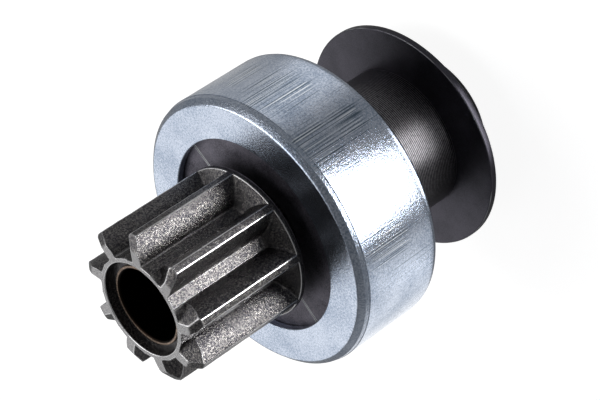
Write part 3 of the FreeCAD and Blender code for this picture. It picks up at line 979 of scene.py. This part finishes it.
@dataclass
class ClutchShell:
    """The plated cup that closes the clutch: nose, side wall and rolled rear edge.

    nose lists the front edge's corners from the side inwards: how far each lies inside the
    radius and behind the front, and its rounding.
    """

    nose: tuple[tuple[float, float, float], ...] = (
        (0.0, 2.05, 0.08), (0.12, 1.9, 0.08), (0.28, 1.05, 0.3), (1.35, 0.0, 0.75),
    )
    rolled_rad: float = 1.9
    wall: float = 1.5
    hole_rad: float = 20.2
    lip_rad: float = 24.5
    lip_thick: float = 1.2
    lip_slope: float = 1.0
    brushed: float = 0.22
    segments: int = 480

    def __post_init__(self) -> None:
        """Take the outside sizes from the frame."""
        self.radius, self.back, self.front = frame_span("clutch_shell")

    def outline(self) -> np.ndarray:
        """Section of the cup with its pressed and rolled radii."""
        inner = self.radius - self.wall
        lip_front = self.back + self.lip_thick
        return rounded([
            (self.hole_rad, self.front - self.wall, 0.15),
            (inner, self.front - self.wall, 0.4),
            (inner, lip_front + self.lip_slope, 0.5),
            (inner - self.lip_slope, lip_front, 0.5),
            (self.lip_rad, lip_front, 0.2),
            (self.lip_rad, self.back, 0.3),
            (self.radius, self.back, self.rolled_rad),
            *((self.radius - inset, self.front - depth, bend) for inset, depth, bend in self.nose),
            (self.hole_rad, self.front, 0.25),
        ], steps=6)

    def scuffs(self, points: np.ndarray) -> np.ndarray:
        """Where the die scratched the side: soft-edged patches by angle and height.

        Each patch is (angle, half width, height, half height, depth), in degrees and
        millimetres, and falls off with the fourth power of the distance from its middle.

        Args:
            points: Places in millimetres, (N, 3).

        Returns:
            Depth from 0 to 1 for each place.
        """
        patches = [
            (-76.0, 11.0, 45.5, 4.5, 1.0),
            (-74.0, 8.0, 37.5, 4.0, 0.8),
            (-47.0, 12.0, 42.5, 7.0, 1.0),
            (-24.0, 8.0, 41.0, 5.0, 0.8),
            (-95.0, 9.0, 44.0, 4.0, 0.8),
            (-121.0, 8.0, 43.0, 5.5, 1.0),
            (60.0, 25.0, 42.0, 6.0, 0.6),
            (150.0, 20.0, 40.0, 6.0, 0.6),
        ]
        angle = np.degrees(np.arctan2(points[:, 1], points[:, 0]))
        total = np.full(len(points), self.brushed)
        for middle, half_width, height, half_height, depth in patches:
            across = (angle - middle + 180) % 360 - 180
            far = (across / half_width) ** 4 + ((points[:, 2] - height) / half_height) ** 4
            total = np.maximum(total, depth * np.exp(-far))
        side = np.hypot(points[:, 0], points[:, 1]) > self.radius - 0.2
        return total * side

    def build(self) -> bpy.types.Object:
        """The shell's mesh object."""
        surface = revolve(densified(self.outline(), 0.9), self.segments)
        surface.marks = {SCUFF_NAME: self.scuffs(surface.points)}
        return mesh_object("plated_shell", surface, sharp=60.0)


@dataclass
class ForkFlange:
    """The disc that the fork pulls on, with its blanked edge just broken."""

    bore_rad: float = 14.25
    rubbed_width: float = 0.2
    rubbed_wear: float = 0.5
    segments: int = 360

    def build(self) -> bpy.types.Object:
        """The flange's mesh object."""
        radius, back, front = frame_span("fork_flange")
        outline = rounded([
            (self.bore_rad, back, 0.1),
            (radius, back, 0.3),
            (radius, front, 0.3),
            (self.bore_rad, front, 0.1),
        ])
        surface = revolve(densified(outline, 1.5), self.segments)
        reach = np.hypot(surface.points[:, 0], surface.points[:, 1])
        rim = reach > radius - self.rubbed_width
        corner = rim & (surface.points[:, 2] > front - self.rubbed_width)
        surface.marks = {WEAR_NAME: self.rubbed_wear * corner}
        return mesh_object("flange_disc", surface, sharp=60.0)


@dataclass
class HalfWashers:
    """The two half rings that hold the pinion by its neck."""

    inner: float = 11.2
    outer: float = 26.8
    split: float = 5.6
    first_half: float = 173.6
    gap: float = 0.8
    segments: int = 150

    def build(self, number: int) -> bpy.types.Object:
        """One half's mesh object.

        Args:
            number: 1 or 2.

        Returns:
            The half ring.
        """
        low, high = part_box("half_washer_1")
        outline = rounded([
            (self.inner, low.z / MM, 0.12),
            (self.outer, low.z / MM, 0.12),
            (self.outer, high.z / MM, 0.12),
            (self.inner, high.z / MM, 0.12),
        ], steps=3)
        start = self.split if number == 1 else self.split + self.first_half
        sweep = self.first_half if number == 1 else 360.0 - self.first_half
        surface = revolve(
            densified(outline, 2.0), self.segments, start + self.gap / 2, sweep - self.gap
        )
        columns = self.segments + 1
        ends = np.isin(np.arange(len(surface.points)) % columns, (0, columns - 1))
        surface.marks = {WEAR_NAME: ends.astype(float)}
        return mesh_object(f"split_washer_{number}", surface)


@dataclass
class Bushes:
    """The two bronze bushes pressed into the pinion."""

    bore_rad: float = 7.5
    chamfer: float = 0.3
    segments: int = 180

    def build(self, node: str, name: str) -> bpy.types.Object:
        """One bush's mesh object.

        Args:
            node: The CAD node that it stands for.
            name: The piece's name.

        Returns:
            The bush.
        """
        radius, back, front = frame_span(node)
        outline = rounded([
            (self.bore_rad + self.chamfer, back, 0.08),
            (radius, back, 0.05),
            (radius, front, 0.12),
            (self.bore_rad + self.chamfer, front, 0.1),
            (self.bore_rad, front - self.chamfer, 0.1),
            (self.bore_rad, back + self.chamfer, 0.1),
        ], steps=3)
        return mesh_object(name, revolve(densified(outline, 1.0), self.segments), sharp=60.0)


@dataclass
class RollerSpring:
    """The coil spring that pushes one roller up its ramp."""

    number: int
    pockets: int = 5
    wire: float = 0.5
    coil_rad: float = 1.2
    turns: float = 3.0
    travel: float = 1.2

    def __post_init__(self) -> None:
        """The pocket's own directions: along the spring and across it."""
        turn = 2 * math.pi * (self.number - 1) / self.pockets
        self.node = f"roller_spring_{self.number}"
        self.along = np.array([math.cos(turn), math.sin(turn), 0.0])
        self.across = np.array([-math.sin(turn), math.cos(turn), 0.0])

    def span(self, frame: Mapping[str, Any]) -> tuple[np.ndarray, np.ndarray]:
        """The middles of the spring's two ends, in millimetres, from its CAD node's mesh."""
        axes = np.array([self.along, self.across, [0.0, 0.0, 1.0]])
        places = mesh_places(frame["nodes"][self.node].data) @ axes.T
        low, high = places.min(axis=0), places.max(axis=0)
        middle = (low + high) / 2
        return np.array([low[0], *middle[1:]]) @ axes, np.array([high[0], *middle[1:]]) @ axes

    def surface(self, free: np.ndarray, fixed: np.ndarray, steps: int = 90, sides: int = 12) -> Surface:
        """Round wire along a helix, closed at both ends.

        The wire's middle is free + along s + coil_rad (across cos a + up sin a), with a turning
        evenly as s grows; the section is a circle in the plane of the helix's normal and
        binormal.

        Args:
            free: Middle of the end that the plunger pushes.
            fixed: Middle of the end that stays.
            steps: Points along the wire.
            sides: Points round it.

        Returns:
            The spring's surface.
        """
        share = np.linspace(0, 1, steps)[:, None]
        angle = 2 * math.pi * self.turns * share
        reach = np.linalg.norm(fixed - free) - self.wire
        up = np.array([0.0, 0.0, 1.0])
        normal = np.cos(angle) * self.across + np.sin(angle) * up
        middle = free + self.along * (self.wire / 2 + reach * share) + self.coil_rad * normal
        swing = np.cos(angle) * up - np.sin(angle) * self.across
        tangent = self.along * reach + swing * (2 * math.pi * self.turns * self.coil_rad)
        tangent /= np.linalg.norm(tangent, axis=1)[:, None]
        binormal = np.cross(normal, tangent)
        around = (2 * math.pi * np.arange(sides) / sides)[:, None, None]
        points = middle + self.wire / 2 * (np.cos(around) * normal + np.sin(around) * binormal)
        count = sides * steps
        caps = [list(range(0, count, steps)), list(range(count - 1, 0, -steps))]
        return Surface(points.reshape(-1, 3), closed_grid(sides, steps, False), caps)

    def build(self, frame: Mapping[str, Any]) -> bpy.types.Object:
        """The spring's mesh object."""
        return mesh_object(f"coil_spring_{self.number}", self.surface(*self.span(frame)))

    def shorten(self, piece: bpy.types.Object, frame: Mapping[str, Any]) -> None:
        """Give the spring piece its own copy of its mesh."""
        free, fixed = self.span(frame)
        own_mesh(piece)


# Stage


@dataclass(frozen=True)
class Panel:
    """A soft lamp: a lit rectangle of a given radiance.

    facing is the way its light goes and across the way its width lies, square to facing.
    """

    name: str
    middle: tuple[float, float, float]
    facing: tuple[float, float, float]
    across: tuple[float, float, float]
    width: float
    height: float
    radiance: float

    def build(self) -> None:
        """Add the lamp. Its power is 4 times the radiance times the area."""
        lamp = bpy.data.lights.new(self.name, "AREA")
        lamp.shape = "RECTANGLE"
        lamp.size = self.width * MM
        lamp.size_y = self.height * MM
        lamp.energy = 4 * self.radiance * lamp.size * lamp.size_y
        holder = bpy.data.objects.new(self.name, lamp)
        holder.visible_camera = False
        back = -Vector(self.facing).normalized()
        right = Vector(self.across).normalized()
        axes = Matrix((right, back.cross(right), back)).transposed().to_4x4()
        holder.matrix_world = Matrix.Translation(Vector(self.middle) * MM) @ axes
        bpy.context.scene.collection.objects.link(holder)


def floor_panel(
    name: str, bearing: float, distance: float, width: float, depth: float, radiance: float
) -> Panel:
    """A soft lamp just above the floor that faces up, as a lit table top does.

    Args:
        name: The lamp's name.
        bearing: Angle from the X axis at which its middle lies, in degrees.
        distance: How far its middle lies from the part's axis.
        width: Its size across the bearing.
        depth: Its size along the bearing.
        radiance: How bright it is.

    Returns:
        The panel.
    """
    angle = math.radians(bearing)
    outward = np.array([math.cos(angle), math.sin(angle)])
    middle = outward * distance
    return Panel(
        name, (middle[0], middle[1], 2.0), (0.0, 0.0, 1.0), (-outward[1], outward[0], 0.0),
        width, depth, radiance,
    )


@dataclass(frozen=True)
class Stage:
    """Floor, world, lamps and camera."""

    floor_half: float = 3000.0
    floor_colour: str = "#9C9C9C"
    floor_glow: float = 0.92
    room_colour: tuple[float, float, float, float] = (0.94, 0.97, 1.0, 1.0)
    world_level: float = 0.03
    horizon_level: float = 0.28
    horizon_climb: Span = (0.1, 0.7)
    mirrored: float = 0.15
    camera_place: tuple[float, float, float] = (0.62, -383.26, 286.0)
    camera_elevation: float = 32.96
    camera_roll: float = -123.51
    camera_lens: float = 144.0
    camera_sensor: float = 36.0
    camera_clip: Span = (10.0, 20000.0)

    def shown(self, tree: Tree) -> Socket:
        """How much of the white background a ray meets: all for the camera, a share in metal."""
        path = add_node(tree, "ShaderNodeLightPath").outputs
        seen = calculate(tree, "ADD", path["Is Camera Ray"], path["Is Transmission Ray"])
        glossy = path["Is Glossy Ray"]
        return calculate(tree, "MULTIPLY_ADD", glossy, self.mirrored, seen, clamp=True)

    def floor(self) -> None:
        """A pale floor that the camera sees as white where no shadow falls."""
        half = self.floor_half
        corners = half * np.array([[-1.0, -1.0, 0.0], [1.0, -1.0, 0.0], [1.0, 1.0, 0.0], [-1.0, 1.0, 0.0]])
        floor = mesh_object("floor", Surface(corners, np.array([[0, 1, 2, 3]])))
        material, tree = new_tree("pale_floor")
        matt = add_node(tree, "ShaderNodeBsdfDiffuse", {"Color": self.floor_colour}).outputs["BSDF"]
        glow = add_node(tree, "ShaderNodeEmission", {"Strength": self.floor_glow}).outputs["Emission"]
        both = add_node(tree, "ShaderNodeAddShader", {0: matt, 1: glow}).outputs["Shader"]
        mixed = add_node(tree, "ShaderNodeMixShader", {0: self.shown(tree), 1: matt, 2: both})
        add_node(tree, "ShaderNodeOutputMaterial", {"Surface": mixed.outputs["Shader"]})
        floor.data.materials.append(material)

    def world(self) -> None:
        """A soft grey room, white to the camera."""
        world = bpy.data.worlds.new("studio")
        world.use_nodes = True
        tree = world.node_tree
        tree.nodes.clear()
        way = add_node(tree, "ShaderNodeTexCoord").outputs["Generated"]
        climb = add_node(tree, "ShaderNodeSeparateXYZ", {"Vector": way}).outputs["Z"]
        level = remap(tree, climb, self.horizon_climb, (self.horizon_level, self.world_level))
        room = add_node(tree, "ShaderNodeBackground", {"Color": self.room_colour, "Strength": level})
        white = add_node(tree, "ShaderNodeBackground", {"Color": "#FFFFFF", "Strength": 1.0})
        mixed = add_node(tree, "ShaderNodeMixShader", {
            0: self.shown(tree), 1: room.outputs["Background"], 2: white.outputs["Background"],
        })
        add_node(tree, "ShaderNodeOutputWorld", {"Surface": mixed.outputs["Shader"]})
        bpy.context.scene.world = world

    def lamps(self) -> None:
        """The key panels lie low in front; soft boxes stand behind and above."""
        panels = [
            floor_panel("key_near", -108.0, 43.0, 30.0, 20.0, 5.0),
            floor_panel("key_middle", -110.5, 93.0, 44.0, 27.0, 10.0),
            floor_panel("key_far", -108.5, 136.0, 86.0, 58.0, 20.0),
            floor_panel("left_near", -162.0, 90.0, 44.0, 70.0, 0.5),
            floor_panel("left_fill", 145.0, 92.0, 130.0, 90.0, 0.72),
            floor_panel("right_near", -22.0, 88.0, 50.0, 70.0, 0.52),
            floor_panel("right_fill", 22.0, 85.0, 110.0, 60.0, 0.15),
            Panel(
                "back_box", (0.0, 420.0, 312.0), (0.0, -0.848, -0.53), (1.0, 0.0, 0.0),
                460.0, 320.0, 0.8,
            ),
            Panel(
                "top_box", (196.0, 53.0, 457.0), (-0.393, -0.105, -0.914), (-0.26, 0.966, 0.0),
                330.0, 330.0, 2.0,
            ),
            Panel(
                "side_box", (271.0, 142.0, 380.0), (-0.602, -0.315, -0.733), (-0.46, 0.89, 0.0),
                190.0, 190.0, 1.6,
            ),
        ]
        for panel in panels:
            panel.build()

    def camera(self) -> None:
        """The camera at the photograph's place: elevation and roll give its axes."""
        elevation = math.radians(self.camera_elevation)
        roll = math.radians(self.camera_roll)
        forward = Vector((0.0, math.cos(elevation), -math.sin(elevation)))
        level_right = Vector((1.0, 0.0, 0.0))
        level_up = level_right.cross(forward)
        right = level_right * math.cos(roll) + level_up * math.sin(roll)
        up = level_up * math.cos(roll) - level_right * math.sin(roll)
        data = bpy.data.cameras.new("camera")
        data.lens = self.camera_lens
        data.sensor_width = self.camera_sensor
        data.clip_start, data.clip_end = np.array(self.camera_clip) * MM
        holder = bpy.data.objects.new("camera", data)
        axes = Matrix((right, up, -forward)).transposed().to_4x4()
        holder.matrix_world = Matrix.Translation(Vector(self.camera_place) * MM) @ axes
        bpy.context.scene.collection.objects.link(holder)
        bpy.context.scene.camera = holder

    def build(self) -> None:
        """Set up everything that isn't part of the object."""
        self.floor()
        self.world()
        self.lamps()
        self.camera()
        bpy.context.scene.view_settings.view_transform = "Standard"


def dress_inner_pieces(frame: Mapping[str, Any], steel: bpy.types.Material) -> None:
    """Give the sealed rollers, which keep their CAD meshes, their material.

    Args:
        steel: Ground steel.
    """
    for name, node in frame["nodes"].items():
        if name.startswith("roller_"):
            node.data.materials.clear()
            node.data.materials.append(steel)


def main() -> None:
    """Load the frame, build and dress every piece, and set the stage."""
    logging.basicConfig(level=logging.INFO)
    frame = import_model()

    forged = ForgedSteel().build()
    zinc = ZincPlate().build()
    turned = TurnedSteel().build()
    black = BlackSteel("oil_blackened_flange", "#39383E", "#4E4C54", 0.36).build()
    phosphate = BlackSteel("phosphated_washer", "#2F2D34", "#716E78", 0.5, grain_height=0.016).build()
    ground = BlackSteel("ground_steel", "#9A9C9F", "#B4B6B8", 0.25).build()
    bronze = SinteredBronze().build()

    washers, bushes = HalfWashers(), Bushes()
    pieces = (
        (Pinion().build(), Body.PINION, Slot.PINION, forged, "pinion"),
        (ClutchShell().build(), Body.DRIVE, Slot.PLATED, zinc, "clutch_shell"),
        (ForkFlange().build(), Body.DRIVE, Slot.FLANGE, black, "fork_flange"),
        (washers.build(1), Body.DRIVE, Slot.WASHER, phosphate, "half_washer_1"),
        (washers.build(2), Body.DRIVE, Slot.WASHER, phosphate, "half_washer_2"),
        (bushes.build("front_bush", "nose_bush"), Body.PINION, Slot.BRONZE, bronze, "front_bush"),
        (bushes.build("rear_bush", "race_bush"), Body.PINION, Slot.BRONZE, bronze, "rear_bush"),
    )
    for piece in pieces:
        place_piece(*piece)
    copies = (
        ("drive_sleeve", "sleeve_and_drum", Slot.SLEEVE, turned),
        ("snap_ring", "retaining_ring", Slot.SPRING, ground),
        ("cover_washer", "pocket_cover", Slot.WASHER, phosphate),
    )
    for node, name, slot, material in copies:
        place_piece(smooth_copy(node, name, frame), Body.DRIVE, slot, material, node)
    for number in range(1, 6):
        spring = RollerSpring(number)
        coil = spring.build(frame)
        place_piece(coil, Body.DRIVE, Slot.SPRING, ground, spring.node)
        spring.shorten(coil, frame)
    dress_inner_pieces(frame, ground)

    Stage().build()


if __name__ == "__main__":
    main()
